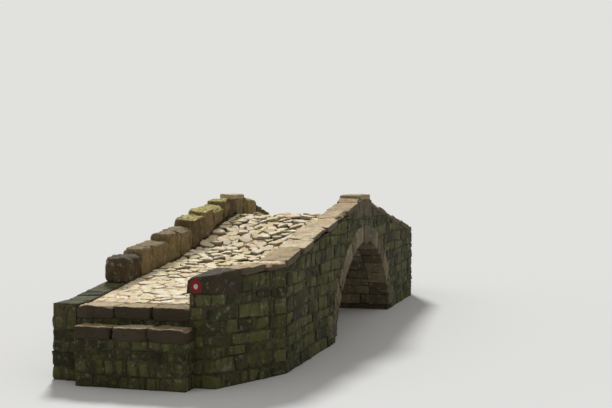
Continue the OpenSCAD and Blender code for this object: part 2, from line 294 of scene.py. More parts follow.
def rough_stones(corners, block, rng, radius, swell, chips=6, chip_depth=0.03, skin=never_deep):
    """Stones in eight-cornered cells, as points (stones, points, 3) with each point's tone and depth. A
    block's edges are rounded by about radius, which noise varies; points beyond random slanting planes
    across its edges are pressed back onto them, up to chip_depth; the block goes to its cell by trilinear
    interpolation of the corners, and its points then move in or out by smooth noise, in a direction that
    turns slowly round the edges. Depth is 0 on the face and 1 at skin behind it."""
    points, quads = block
    count = len(corners)
    axes = [np.diff(corners.mean(ends), axis=1) for ends in ((2, 3), (1, 3), (1, 2))]
    axes = np.concatenate(axes, 1)
    half = np.linalg.norm(axes, axis=2)[:, None] / 2
    apart = points * half + rng.uniform(-noise_apart, noise_apart, (count, 1, 3))
    edge = np.clip(radius * (1 + waves(apart, rng, edge_waves)), sharpest_edge, None)[..., None]
    edge = np.minimum(edge, 0.9 * half)
    inner = np.clip(points * half, edge - half, half - edge)
    away = points * half - inner
    local = inner + edge * (away / np.linalg.norm(away, axis=2, keepdims=True))
    for _ in range(chips):
        normal = rng.choice([-1.0, 1.0], (count, 1, 3))
        normal = np.where(np.arange(3) == rng.integers(0, 3, (count, 1, 1)), 0, normal)
        normal = normal + rng.normal(0, chip_tilt, normal.shape)
        normal /= np.linalg.norm(normal, axis=2, keepdims=True)
        bite = rng.uniform(0.2, 1, (count, 1, 1)) * chip_depth
        reach = (np.abs(normal) * half).sum(2, keepdims=True) - bite
        local = local - np.maximum(0, (local * normal).sum(2, keepdims=True) - reach) * normal
    local = local / half
    share = np.stack([(1 - local) / 2, (1 + local) / 2], 2)
    placed = np.einsum("nmi,nmj,nmk,nijkx->nmx", share[..., 0], share[..., 1], share[..., 2], corners)
    turned = np.sign(points) * points**4
    turned /= np.linalg.norm(turned, axis=1, keepdims=True)
    normals = np.einsum("mk,nkx->nmx", turned, axes / np.linalg.norm(axes, axis=2, keepdims=True))
    placed = placed + normals * (swell * waves(apart, rng, face_waves))[..., None]
    tone = np.repeat(rng.uniform(0, 1, (count, 1)), len(points), 1)
    depth = np.clip((1 - local[..., 2]) * half[..., 2] / np.reshape(skin, (-1, 1)), 0, 1)
    if np.linalg.det(axes[0]) < 0:
        quads = quads[:, ::-1]
    return placed, tone, depth, quads


def joined_mesh(name, groups, material, nodes=()):
    """One piece from groups of stones: their points end to end, their quads counted on, smooth faces, and
    each point's tone and depth as attributes. It rides on the bridge and stands for the CAD nodes named."""
    placed = np.concatenate([points.reshape(-1, 3) for points, _, _, _ in groups])
    quads, first = [], 0
    for points, _, _, faces in groups:
        starts = first + len(points[0]) * np.arange(len(points))
        quads.append((starts[:, None, None] + faces[None]).reshape(-1, 4))
        first += points.shape[0] * points.shape[1]
    quads = np.concatenate(quads)
    mesh = bpy.data.meshes.new(name)
    mesh.vertices.add(len(placed))
    mesh.vertices.foreach_set("co", placed.ravel())
    mesh.loops.add(quads.size)
    mesh.loops.foreach_set("vertex_index", quads.ravel())
    mesh.polygons.add(len(quads))
    mesh.polygons.foreach_set("loop_start", 4 * np.arange(len(quads)))
    mesh.polygons.foreach_set("use_smooth", np.ones(len(quads), bool))
    for place, key in ((1, "tone"), (2, "depth")):
        value = np.concatenate([group[place].ravel() for group in groups]).astype(np.float32)
        mesh.attributes.new(key, "FLOAT", "POINT").data.foreach_set("value", value)
    mesh.update(calc_edges=True)
    mesh.materials.append(material)
    piece = bpy.data.objects.new(name, mesh)
    bpy.context.scene.collection.objects.link(piece)
    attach(piece, "root")
    if nodes:
        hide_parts(*nodes)


def levels(low, high, course, rng):
    """Beds of courses from low to high: steps of 0.8 to 1.2 of course, stretched together to fit."""
    steps = np.cumsum(np.r_[0, rng.uniform(0.8, 1.2, max(1, round((high - low) / course)))])
    return low + (high - low) * steps / steps[-1]


def courses(low, high, beds, length, rng, sway=0.02, corners=(0, 0), reach=0.0, stop=0.0):
    """Stones laid between low and high in the courses between the beds, as corners (stones, along, up, 2),
    and for each whether it is a corner stone. Stones are 0.6 to 1.4 of length and their joints lean. A bed
    waves by up to sway times a sine. At an end whose corner is 1 the even courses run on by reach and the
    odd ones stop short; at one whose corner is -1 it is the other way round."""
    swell = rng.uniform(0.4, 1, len(beds)) * sway
    swell[[0, -1]] = 0
    turn = rng.uniform(0, 2 * math.pi, len(beds))
    cells, corner_stones = [], []
    for row in range(len(beds) - 1):
        owns = [corner * (1 if row % 2 == 0 else -1) for corner in corners]
        runs_on = [reach * (own > 0) - stop * (own < 0) for own in owns]
        first, last = low - runs_on[0], high + runs_on[1]
        stones = max(1, round((last - first) / length))
        steps = np.cumsum(np.r_[0, rng.uniform(0.6, 1.4, stones)])
        joints = first + (last - first) * steps / steps[-1]
        lean = rng.uniform(-1, 1, (2, stones + 1)) * joint_lean * (beds[row + 1] - beds[row])
        lean[:, [0, -1]] = 0
        bed = np.array([row, row + 1])
        along = joints[None] + lean
        up = beds[bed][:, None] + swell[bed][:, None] * np.sin(bed_waves * along + turn[bed][:, None])
        grid = np.stack([along, up], -1)
        cells.append(np.stack([grid[:, :-1], grid[:, 1:]], 0).transpose(2, 0, 1, 3))
        deep = np.zeros(stones, bool)
        deep[0] |= owns[0] > 0
        deep[-1] |= owns[1] > 0
        corner_stones.append(deep)
    return np.concatenate(cells), np.concatenate(corner_stones)


def cell_corners(cells, place, rng, joint, back, proud, uneven):
    """Eight corners for each cell: drawn in by half the joint on every side, from back behind the wall's
    face to proud in front of it, give or take uneven, and put in space by place(along, up, out)."""
    middle = cells.mean((1, 2), keepdims=True)
    width = (cells[:, 1, :, 0] - cells[:, 0, :, 0]).mean(1)
    height = (cells[:, :, 1, 1] - cells[:, :, 0, 1]).mean(1)
    size = np.stack([width, height], -1)[:, None, None]
    cells = middle + (cells - middle) * (1 - joint / np.maximum(size, 1.5 * joint))
    front = proud + rng.uniform(-uneven, uneven, (len(cells), 1, 1))
    behind = -np.broadcast_to(np.reshape(back, (-1, 1, 1)), front.shape)
    sides = [place(cells[..., 0], cells[..., 1], out + 0 * cells[..., 0]) for out in (behind, front)]
    return np.stack(sides, 3)


def on_arch(across, angle, radius):
    """The point at that angle from the crown and radius from the arch's axis, that far across."""
    return np.stack([radius * np.sin(angle), across, arch_centre_z + radius * np.cos(angle)], -1)


def arch_corners(side, box, angles, inner_radius):
    """Corners of arch stones, each between two angles, from an inner radius to the ring's back, between the
    two faces of a CAD node's box."""
    faces = np.array([box[0].y, box[1].y])[:: 1 if side == "left" else -1]
    radii = np.array([inner_radius, arch_radius + ring_depth])
    angle, radius, across = np.broadcast_arrays(angles[:, :, None, None], radii[:, None], faces)
    return on_arch(across, angle, radius)


def solids_of(name):
    """The corner points of each solid in a CAD node. Triangles that share a corner belong together."""
    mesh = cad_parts[name].data
    points = np.zeros(3 * len(mesh.vertices))
    mesh.vertices.foreach_get("co", points)
    loops = np.zeros(len(mesh.loops), int)
    mesh.loops.foreach_get("vertex_index", loops)
    corners, joined = np.unique(np.round(points.reshape(-1, 3), 4), axis=0, return_inverse=True)
    faces = joined.ravel()[loops].reshape(-1, 3)
    label, before = np.arange(len(corners)), None
    while not np.array_equal(label, before):
        before = label.copy()
        np.minimum.at(label, faces.ravel(), np.repeat(label[faces].min(1), 3))
    return [corners[label == solid] for solid in np.unique(label)]


def end_corners(points):
    """Eight corners of a solid along the bridge: its lowest and highest y and z at either end in x."""
    ends = []
    for x in (points[:, 0].min(), points[:, 0].max()):
        face = points[np.abs(points[:, 0] - x) < same_plane]
        low, high = face.min(0), face.max(0)
        ends.append([[(x, y, z) for z in (low[2], high[2])] for y in (low[1], high[1])])
    return np.array(ends)


rng = np.random.default_rng(11)
arch_stone = stone_finish("arch_stone", arch_pale, arch_dark, moss=0.25, lichen=0.35, streaks=0.3)
for end, side in (("near", -1), ("far", 1)):
    low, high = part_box(end + "_springer")
    inner, outer = side * half_span, side * max(-low.x, high.x)
    skew = side * (arch_radius + ring_depth) * math.sin(spring_angle)
    skew_z = arch_centre_z + (arch_radius + ring_depth) * math.cos(spring_angle)
    joints = levels(low.y, high.y, springer_length, rng)
    stones = []
    for section in (
        [[(outer, low.z), (outer, spring_z)], [(inner, low.z), (inner, spring_z)]],
        [[(outer, spring_z), (outer, skew_z)], [(inner, spring_z), (skew, skew_z)]],
    ):
        section = np.array(section) + springer_gap[1] * np.array([[0, 1], [0, -1]])
        faces = np.stack([joints[:-1] + springer_gap[0], joints[1:] - springer_gap[0]], -1)
        x, y = np.broadcast_arrays(section[:, None, :, 0], faces[:, None, :, None])
        stones.append(np.stack([x, y, section[:, None, :, 1] + 0 * y], -1))
        # The bed above has joints of its own.
        joints = levels(low.y, high.y, skew_length, rng)
    stones = rough_stones(np.concatenate(stones), block_grid(6, 8, 5), rng, radius=0.012, swell=0.004)
    joined_mesh(end + "_springer_stones", [stones], arch_stone, [end + "_springer"])
beds = levels(-arch_radius * spring_angle, arch_radius * spring_angle, barrel_course, rng)
cells, _ = courses(-road_half, road_half, beds, barrel_length, rng, sway=0.004)
stones = cell_corners(
    cells, lambda across, along, out: on_arch(across, along / arch_radius, arch_radius - out), rng,
    joint=barrel_joint, back=barrel_back, proud=barrel_proud, uneven=0.005,
)
stones = rough_stones(stones, block_grid(6, 4, 3), rng, radius=0.010, swell=0.003, chips=3, chip_depth=0.02)
joined_mesh("barrel_stones", [stones], arch_stone)
ring_block = block_grid(7, 9, 9)
half_joint = arch_joint / arch_radius / 2
joint_angles = np.linspace(-spring_angle, spring_angle, arch_stones + 2)
ring_angles = np.stack([joint_angles[:-1] + half_joint, joint_angles[1:] - half_joint], -1)
ring_angles = np.delete(ring_angles, arch_stones // 2, 0)
key_angle = spring_angle / (arch_stones + 1) - half_joint
for side in ("right", "left"):
    corners = arch_corners(side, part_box(side + "_arch_ring"), ring_angles, arch_radius)
    stones = rough_stones(corners, ring_block, rng, radius=0.010, swell=0.005)
    joined_mesh(side + "_ring_stones", [stones], arch_stone, [side + "_arch_ring"])
    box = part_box(side + "_keystone")
    corners = arch_corners(side, box, np.array([[-key_angle, key_angle]]),
                           (box[0].z - arch_centre_z) / math.cos(key_angle))
    stone = rough_stones(corners, ring_block, rng, radius=0.010, swell=0.004, chips=4, chip_depth=0.02)
    joined_mesh(side + "_key_block", [stone], arch_stone, [side + "_keystone"])

# Outer walls: rubble laid in rough courses from the stream bed up to the coping, on both sides of the
# bridge, round its splayed wings and across its ends. The courses run on round the corners, where every
# other stone is a long one.
wall_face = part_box("right_near_spandrel")[0].y
wing_turn_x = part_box("right_far_spandrel")[1].x
bridge_end_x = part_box("left_far_spandrel")[1].x
wing_outer_y = -0.86
wing_inner_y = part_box("near_wing_wall")[1].y
end_stone_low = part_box("near_end_stone")[0].z
step_front_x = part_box("far_step_base")[1].x
wall_course = 0.165
wall_stone_length = 0.32
wall_joint = 0.016
wall_proud = 0.016
wall_sway = 0.026
base_proud = 0.014
end_proud = 0.008
stone_back = 0.09
corner_back = 0.17
joint_skin = 0.03
thinnest = 0.04
narrowest = 0.05
mitre_reach = 0.20
behind_wing = 0.02
past_base = 0.12
behind_ring = 0.4
# Wall stone: dark mossy weathered stone, made darker still by painted shade.
wall_pale = (89, 88, 54)
wall_dark = (45, 46, 28)


def level_line(names, pick):
    """A level along the bridge, read from CAD nodes: the highest (pick 1) or lowest (pick -1) point at each
    station that has a top and an underside, joined by straight lines."""
    points = np.concatenate([solid for name in names for solid in solids_of(name)])
    stations, index = np.unique(np.round(points[:, 0], 3), return_inverse=True)
    level, other = np.full((2, len(stations)), -np.inf)
    np.maximum.at(level, index.ravel(), points[:, 2] * pick)
    np.maximum.at(other, index.ravel(), -points[:, 2] * pick)
    whole = level + other > thinnest
    return lambda x: np.interp(x, stations[whole], level[whole] * pick)


road = level_line(["near_paving", "crown_paving", "far_paving", "near_top_step", "far_top_step"], 1)
coping_bed = level_line(["near_wing_coping", "right_near_coping", "right_far_coping", "far_wing_coping"], -1)
crest_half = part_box("right_crest_block")[1].x
crest_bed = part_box("right_crest_cap")[0].z
wing_run = math.dist((bridge_end_x, wing_outer_y), (wing_turn_x, wall_face))
wing_slope = (bridge_end_x - wing_turn_x) / wing_run
outer_splay = (wing_outer_y - wall_face) / (bridge_end_x - wing_turn_x)


def right_top(x):
    """The top of the right wall's facing: the coping's bed, or the road's level under the crest block."""
    return np.where(np.abs(x) < crest_half, road(x), coping_bed(x))


def uncut(along):
    """The top of a face whose courses end in a level bed: above them all."""
    return math.inf


def wing_bed(side):
    """The bed of the coping on that end's wing, by the distance from the wing's tip."""
    return lambda along: coping_bed(side * (bridge_end_x - along * wing_slope))


def trim(cells, deep, top, clear_arch):
    """Cells pressed below the line top(along) and, in a wall that the arch cuts, outwards to the middle of
    its ring. What is left too small is dropped. Returns the cells with their corner marks."""
    x, z = cells[..., 0].copy(), np.minimum(cells[..., 1], top(cells[..., 0]))
    if clear_arch:
        side = np.where(cells[..., 0].mean((1, 2), keepdims=True) < 0, -1, 1)
        over = z > spring_z
        push = np.maximum(1, (arch_radius + behind_ring * ring_depth) / np.hypot(x, z - arch_centre_z))
        z = np.where(over, arch_centre_z + (z - arch_centre_z) * push, z)
        x = np.where(over, x * push, side * np.maximum(side * x, half_span + arch_joint))
        z = np.minimum(z, top(x))
    cut = np.stack([x, z], -1)
    width = (cut[:, 1, :, 0] - cut[:, 0, :, 0]).min(1)
    height = (cut[:, :, 1, 1] - cut[:, :, 0, 1]).min(1)
    keep = (width > narrowest) & (height > thinnest)
    return cut[keep], deep[keep]


def panel(start, end, side=1, hand=1):
    """place(along, up, out) for an upright face between two plan points of the far end. Out is to the right
    of that walk, or to its left where hand is -1. Where side is -1 the face lies at the near end."""
    step = np.subtract(end, start) / math.dist(start, end)
    return lambda along, up, out: np.stack([
        side * (start[0] + step[0] * along + hand * step[1] * out),
        start[1] + step[1] * along - hand * step[0] * out, up
    ], -1)


def mitred(place):
    """The same face, with its corner stones cut to the splayed angle between the wing's two faces."""
    def placed(along, up, out):
        return place(along + out * outer_splay * np.clip(1 - along / mitre_reach, 0, 1), up, out)

    return placed


def face_stones(place, low, high, beds, top=uncut, corners=(0, 0), clear_arch=False, proud=wall_proud):
    """Facing stones over one face, with corner stones as deep as the next face's courses stop short."""
    cells, deep = courses(low, high, beds, wall_stone_length, rng, wall_sway, corners, proud, corner_back)
    cells, deep = trim(cells, deep, top, clear_arch)
    back = np.where(deep, corner_back - wall_joint, stone_back)
    stones = cell_corners(cells, place, rng, joint=wall_joint, back=back, proud=proud, uneven=0.009)
    return rough_stones(stones, wall_block, rng, radius=0.013, swell=0.009, chips=5, chip_depth=0.035,
                        skin=np.where(deep, never_deep, joint_skin))


rng = np.random.default_rng(23)
wall_stone = stone_finish("wall_stone", wall_pale, wall_dark, moss=0.50, lichen=0.22, streaks=0.8, stain=0.25)
wall_block = block_grid(7, 5, 3)
low_beds = levels(0, end_stone_low, wall_course, rng)
all_beds = np.r_[low_beds[:-1], levels(end_stone_low, crest_bed, wall_course, rng)]
face = panel((0, wall_face), (1, wall_face))
stones = face_stones(face, -wing_turn_x, wing_turn_x, all_beds, right_top, clear_arch=True)
joined_mesh("right_wall_stones", [stones], wall_stone)
face = panel((0, -wall_face), (1, -wall_face), hand=-1)
stones = face_stones(face, -bridge_end_x, bridge_end_x, all_beds, road, (1, 1), clear_arch=True)
joined_mesh("left_wall_stones", [stones], wall_stone)
wing_tip, inner_tip = (bridge_end_x, wing_outer_y), (bridge_end_x, wing_inner_y)
for end, side in (("near", -1), ("far", 1)):
    stone_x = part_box(end + "_end_stone")[1 if side < 0 else 0].x
    to_stone = (bridge_end_x - abs(stone_x)) / wing_slope
    outer = panel(wing_tip, (wing_turn_x, wall_face), side, hand=-1)
    front = panel(wing_tip, inner_tip, side)
    top_bed = np.array([end_stone_low, coping_bed(side * wing_turn_x)])
    groups = [
        face_stones(mitred(outer), 0, wing_run, low_beds, wing_bed(side), (-1, 0)),
        face_stones(outer, to_stone, wing_run, top_bed, wing_bed(side)),
        face_stones(mitred(front), 0, wing_inner_y - wing_outer_y, low_beds, corners=(1, 0)),
    ]
    joined_mesh(end + "_wing_stones", groups, wall_stone)

    low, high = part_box(end + "_step_base")
    beds = levels(0, high.z, wall_course, rng)
    run, depth = high.y - low.y, step_front_x - bridge_end_x
    right_corner, left_corner = (step_front_x, low.y), (step_front_x, high.y)
    right_face = panel(right_corner, (bridge_end_x, low.y), side, hand=-1)
    left_face = panel(left_corner, (bridge_end_x, high.y), side)
    groups = [
        face_stones(panel(right_corner, left_corner, side), 0, run, beds, corners=(1, 1), proud=base_proud),
        face_stones(right_face, 0, depth, beds, corners=(-1, 0), proud=base_proud),
        face_stones(left_face, 0, depth, beds, corners=(-1, 0), proud=base_proud),
    ]
    joined_mesh(end + "_base_stones", groups, wall_stone)

    end_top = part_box(end + "_end_wall")[1].z
    beds = levels(0, end_top, wall_course, rng)
    road_end = all_beds[all_beds < road(side * bridge_end_x)]
    road_end = np.r_[road_end[:-1], float(road(side * bridge_end_x))]
    under_steps = panel(inner_tip, (bridge_end_x, -wall_face), side)
    left_end = panel((bridge_end_x, -wall_face), inner_tip, side, hand=-1)
    groups = [
        face_stones(under_steps, behind_wing, low.y + run - wing_inner_y + past_base, beds, proud=end_proud),
        face_stones(left_end, 0, -wall_face - road_half, road_end, corners=(-1, 0)),
    ]
    joined_mesh(end + "_end_stones", groups, wall_stone)

# Roadway: cobbles of stream stone set in a bed of rammed earth, longer across the bridge than along it. On
# the hump rain has washed hollows in the bed between them; lower down they are worn almost level with it.
cobble_along = 0.175
cobble_across = 0.205
cobble_joint = 0.009
cobble_jitter = 0.38
cobble_power = 7.0
cobble_corners = 13.0
cobble_waves = {0.13: 1.0, 0.06: 0.8}
cobble_swell = 0.007
cobble_foot = 0.04
neighbours = 12
farthest = 5.0
least_rate = 0.001
least_radius = 0.03
cobble_sunk = 0.012
cobble_lift = (-1.05, 0.50)
cobble_tilt = 3.6
# How strongly the cobbles' low sides darken to dark earth with painted shade, and from what share of their
# height.
cobble_earth_and_shade = (0.3, 1.8)
undarkened_above = 0.74
darkening_over = 0.50
row_step = 0.9
worn_from = 2.2
worn_over = 2.4
bed_on_hump = 0.040
bed_low_down = 0.012
bed_thickness = 0.10
hollow_depth = 0.040
hollow_waves = {0.30: 1.0, 0.12: 0.5}
hollows_from = 0.05
hollows_end = 4.4
hollows_fade = 2.0
bed_ripples = {0.25: 0.004, 0.07: 0.003}
bed_grid = 0.03
bed_across = 60
edge_gap = 0.012
end_gap = 0.006
middle_gap = 0.045
inner_splay = (wing_inner_y + road_half) / (bridge_end_x - wing_turn_x)
paving_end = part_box("far_paving")[1].x
crown_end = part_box("crown_paving")[1].x
cobble_pale = (255, 247, 222)
cobble_dark = (240, 222, 190)
earth_pale = (236, 214, 178)
earth_dark = (176, 152, 117)


def bed_depth(x):
    """How far the bed lies below the cobbles' crowns: less beyond worn_from, by a smooth step."""
    share = np.clip((np.abs(x) - worn_from) / worn_over, 0, 1)
    return bed_on_hump + (bed_low_down - bed_on_hump) * share**2 * (3 - 2 * share)


def right_edge(x):
    """The roadway's right edge: straight beside the parapet, and drawn in beside the wings."""
    return -road_half + inner_splay * np.maximum(0, np.abs(x) - wing_turn_x)


def closed_sheet(top, bottom):
    """One stone's worth of points and quads from two equal grids (n, m, 3), joined round their edges."""
    n, m = top.shape[:2]
    upper = np.arange(n * m).reshape(n, m)
    lower = upper + n * m
    quads = [grid_quads(upper), grid_quads(lower.T)]
    for a, b in (
        (upper[:, 0], lower[:, 0]), (lower[:, -1], upper[:, -1]),
        (lower[0], upper[0]), (upper[-1], lower[-1]),
    ):
        quads.append(np.stack([a[:-1], b[:-1], b[1:], a[1:]], -1))
    points = np.concatenate([top.reshape(-1, 3), bottom.reshape(-1, 3)])
    return points[None], np.concatenate(quads)


def lattice(low, high, rng):
    """Jittered stone middles in rows across the roadway, each row set on by half a stone from the last."""
    rows = np.arange(low + 0.5 * cobble_along, high - 0.3 * cobble_along, cobble_along * row_step)
    across = np.arange(-road_half - cobble_across, road_half + cobble_across, cobble_across)
    x, y = np.meshgrid(rows, across, indexing="ij")
    y = y + 0.5 * cobble_across * (np.arange(len(rows)) % 2)[:, None]
    x = x + rng.uniform(-cobble_jitter, cobble_jitter, x.shape) * cobble_along
    y = y + rng.uniform(-cobble_jitter, cobble_jitter, y.shape) * cobble_across
    inside = (y > right_edge(x) + middle_gap) & (y < road_half - middle_gap)
    return np.stack([x[inside], y[inside]], -1)


def cobble_mesh(middles, others, rng):
    """Each cobble is a domed block. Its outline at each angle is the soft least distance to the lines
    halfway to its neighbours and to the roadway's edges, less the joint; its height goes down with its
    distance from the middle as on a block of that power, and it follows the roadway's level."""
    points, quads = block_grid(7, 7, 3)
    points = points / (np.abs(points) ** cobble_power).sum(1, keepdims=True) ** (1 / cobble_power)
    outward = np.sign(points) * np.abs(points) ** (cobble_power - 1)
    outward /= np.linalg.norm(outward, axis=1, keepdims=True)
    share = (np.abs(points[:, :2]) ** cobble_power).sum(1) ** (1 / cobble_power)
    angle = np.arctan2(points[:, 1], points[:, 0])
    scale = np.array([cobble_along, cobble_across])
    ray = np.stack([np.cos(angle), np.sin(angle)], -1) * scale
    apart = others[None] - middles[:, None]
    order = np.argsort(np.linalg.norm(apart / scale, axis=2), axis=1)[:, 1:neighbours + 1]
    apart = np.take_along_axis(apart, order[..., None], 1) / scale
    x, y = middles[:, :1], middles[:, 1:]
    endward = np.sign(x) * ray[:, 0]
    from_right = y + road_half - edge_gap
    edges = (
        (road_half - edge_gap - y, ray[:, 1]),
        (from_right, -ray[:, 1]),
        (from_right - inner_splay * (np.abs(x) - wing_turn_x), inner_splay * endward - ray[:, 1]),
        (paving_end - end_gap - np.abs(x), endward),
    )
    rate = np.einsum("nkx,mx->nmk", apart, ray / scale)
    reach = [(apart**2).sum(2)[:, None] / 2 / np.maximum(rate, least_rate)]
    reach += [(gap / np.maximum(rate, least_rate))[..., None] for gap, rate in edges]
    reach = np.minimum(np.concatenate(reach, -1), farthest)
    radius = (reach**-cobble_corners).sum(-1) ** (-1 / cobble_corners)
    radius = radius * (1 - cobble_joint / np.maximum(radius * np.linalg.norm(ray, axis=1), least_radius))
    plan = middles[:, None] + (share * radius)[..., None] * ray
    rise = bed_depth(plan[..., 0]) + cobble_sunk
    level = road(plan[..., 0]) - rise
    lift = rng.uniform(*cobble_lift, (len(middles), 1)) * bed_depth(x)
    tilt = rng.normal(0, cobble_tilt, (len(middles), 1, 2)) * bed_depth(x)[..., None]
    height = np.where(points[:, 2] > 0, rise + lift, cobble_foot) * points[:, 2]
    height = height + np.maximum(points[:, 2], 0) * ((plan - middles[:, None]) * tilt).sum(-1)
    placed = np.concatenate([plan, (level + height)[..., None]], -1)
    seeds = placed + rng.uniform(-noise_apart, noise_apart, (len(middles), 1, 3))
    move = waves(seeds, rng, cobble_waves)
    placed = placed + outward * (cobble_swell * move * (points[:, 2] > 0))[..., None]
    tone = np.repeat(rng.uniform(0, 1, (len(middles), 1)), len(points), 1)
    earth_and_shade_amount = rng.uniform(*cobble_earth_and_shade, (len(middles), 1))
    # Lower down its sides each cobble turns to dark earth with painted shade, by its own random amount.
    depth = np.clip((undarkened_above - points[:, 2]) / darkening_over * earth_and_shade_amount, 0, 1)
    return placed, tone, depth, quads


rng = np.random.default_rng(37)
earth = grit_finish(
    "earth", 0.97, earth_pale, earth_dark,
    patch=0.20, grit=0.02, detail=5.0, spread=0.12, strength=0.8, distance=0.012,
)
dress(["near_fill", "far_fill"], earth)
cobble_stone = stone_finish(
    "cobbles", cobble_pale, cobble_dark, moss=0.0, lichen=0.15, grain=0.6, upright_shade=0.75, stain=0.6
)
middles = lattice(-paving_end, paving_end, rng)
for name, low, high in (
    ("near", -paving_end, -crown_end), ("crown", -crown_end, crown_end), ("far", crown_end, paving_end)
):
    chosen = (middles[:, 0] >= low) & (middles[:, 0] < high)
    cobbles = cobble_mesh(middles[chosen], middles, rng)
    joined_mesh(name + "_cobbles", [cobbles], cobble_stone, [name + "_paving"])
    along = np.linspace(low, high, round((high - low) / bed_grid))
    x, share = np.meshgrid(along, np.linspace(0, 1, bed_across), indexing="ij")
    y = right_edge(x) + share * (road_half - right_edge(x))
    top = np.stack([x, y, road(x) - bed_depth(x)], -1)
    hollow = np.clip(waves(top, rng, hollow_waves) - hollows_from, 0, 0.5) * 2
    hollow *= np.clip((hollows_end - np.abs(x)) / hollows_fade, 0, 1)
    top[..., 2] += waves(top, rng, bed_ripples) - hollow_depth * hollow
    bottom = np.stack([x, y, road(x) - bed_thickness], -1)
    points, quads = closed_sheet(top, bottom)
    depth = np.concatenate([hollow.ravel(), 0 * hollow.ravel()])[None]
    joined_mesh(name + "_bed", [(points, 0 * depth, depth, quads)], earth)

# Steps: two at each end, of three long slabs of split stone, with worn and broken edges. The slabs lie on
# the end wall and on the lower step's base, with a small nosing.
step_wear = (0.010, 0, 0.014)
step_pale = (200, 181, 150)
step_dark = (136, 118, 90)
rng = np.random.default_rng(41)
step_stone = stone_finish("step_stone", step_pale, step_dark, moss=0.14, lichen=0.2, upright_shade=0.95, seams=0.5)
step_block = block_grid(16, 26, 8)
for end in ("near", "far"):
    for step in ("top", "lower"):
        name = f"{end}_{step}_step"
        corners = np.array([end_corners(points) for points in solids_of(name)])
        corners = corners + rng.uniform(-1, 0, corners.shape) * step_wear
        stones = rough_stones(corners, step_block, rng, radius=0.007, swell=0.010, chips=20, chip_depth=0.034)
        joined_mesh(f"{end}_{step}_slabs", [stones], step_stone, [name])

# Right parapet: its inner face is coursed like the outer one, and rough slabs lie along it as a coping,
# bedded in mortar. The coping steps in and out a little from slab to slab.
inner_height = 0.26
inner_course = 0.13
inner_proud = 0.010
inner_foot = 0.02
coping_shift = 0.026
coping_pale = (232, 213, 178)
coping_dark = (178, 158, 126)


def inner_face(x, up, out):
    """The parapet's inner face, with up as a share of inner_height from the roadway to the coping's bed."""
    low = road(x) - inner_foot
    z = low + up / inner_height * (coping_bed(x) - low)
    return np.stack([x, -road_half + out, z], -1)


rng = np.random.default_rng(53)
groups = []
for side in (-1, 1):
    ends = sorted((side * wing_turn_x, side * crest_half))
    beds = levels(0, inner_height, inner_course, rng)
    low_bed = np.array([float(road(side * bridge_end_x)), end_stone_low])
    top_bed = np.array([end_stone_low, coping_bed(side * wing_turn_x)])
    wing = panel(inner_tip, (wing_turn_x, -road_half), side)
    to_stone = (bridge_end_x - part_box("far_end_stone")[0].x) / wing_slope
    groups.append(face_stones(inner_face, *ends, beds, proud=inner_proud))
    groups.append(face_stones(wing, 0, wing_run, low_bed, wing_bed(side), proud=inner_proud))
    groups.append(face_stones(wing, to_stone, wing_run, top_bed, wing_bed(side), proud=inner_proud))
joined_mesh("right_inner_stones", groups, wall_stone)
coping_stone = stone_finish(
    "coping_stone", coping_pale, coping_dark, moss=0.10, lichen=0.35, grain=0.8, upright_shade=0.9, seams=0.3
)
coping_block = block_grid(16, 10, 5)
for name in ("near_wing", "right_near", "right_far", "far_wing"):
    corners = np.array([end_corners(points) for points in solids_of(name + "_coping")])
    corners[..., 1] += rng.uniform(-coping_shift, coping_shift, (len(corners), 1, 2, 1))
    stones = rough_stones(corners, coping_block, rng, radius=0.010, swell=0.011, chips=14, chip_depth=0.050)
    joined_mesh(name + "_slabs", [stones], coping_stone, [name + "_coping"])

# Left parapet: upright stones the full thickness of the wall, set side by side in mortar with open joints.
# Towards the crest moss covers their tops, which rise with the roadway there and fall towards it. The
# wall's end beyond them is finished with flat stones at road level.
upright_foot = 0.03
crest_reach = 2.6
top_rise = 0.08
top_fall = 0.05
end_top_length = 0.30
upright_pale = (142, 124, 88)
upright_dark = (76, 65, 48)
rng = np.random.default_rng(67)
upright_stone = stone_finish(
    "parapet_stone", upright_pale, upright_dark,
    moss=0.18, lichen=0.35, streaks=0.4, top_moss=0.9, grain=0.6,
)
upright_block = block_grid(14, 12, 14)
for end, side in (("near", -1), ("far", 1)):
    name = f"left_{end}_parapet"
    corners = np.array([end_corners(points) for points in solids_of(name)])
    corners[:, :, :, 0, 2] -= upright_foot
    reach = np.abs(corners[..., 0])
    middle = reach.mean((1, 2, 3), keepdims=True)
    by_crest = np.clip(crest_reach - middle, 0, 1)
    corners[..., 1, 2] += (by_crest * top_rise * (middle - reach))[..., 1]
    corners[:, :, 0, 1, 2] -= by_crest[:, :, 0, 0] * top_fall
    stones = rough_stones(corners, upright_block, rng, radius=0.010, swell=0.015, chips=16, chip_depth=0.060)
    joined_mesh(f"left_{end}_uprights", [stones], upright_stone, [name])
    stretch = np.sort(side * np.array([bridge_end_x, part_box("left_far_parapet")[1].x]))
    cells, _ = courses(*stretch, np.array([road_half, -wall_face]), end_top_length, rng, sway=0)
    stones = cell_corners(cells, lambda x, y, out: np.stack([x, y, road(x) + out], -1), rng,
                          joint=0.012, back=0.06, proud=0.008, uneven=0.004)
    stones = rough_stones(stones, wall_block, rng, radius=0.012, swell=0.004, chips=4, chip_depth=0.02)
    joined_mesh(f"left_{end}_end_tops", [stones], wall_stone)

# End stones: one block on the tip of each wing, a little proud of it. The near one has lost its inner top
# corner, and has a waymark painted by hand on its end, a red ring round a pale spot.
broken_corner = 0.085
worn_corner = 0.015
inner_overhang = 0.03
mark_middle = (-0.595, 1.274)
mark_ring = (0.076, 1.28, 0.055)
mark_spot = (0.030, 1.05, 0.025)
mark_edge = 0.003
mark_deep = 0.05
# Paint colours: a red and an off-white, both dulled by painted shade.
mark_red = (126, 36, 36)
mark_pale = (188, 180, 170)
# End stones: dark weathered stone, made darker still by painted shade.
end_pale = (98, 90, 68)
end_dark = (56, 50, 37)


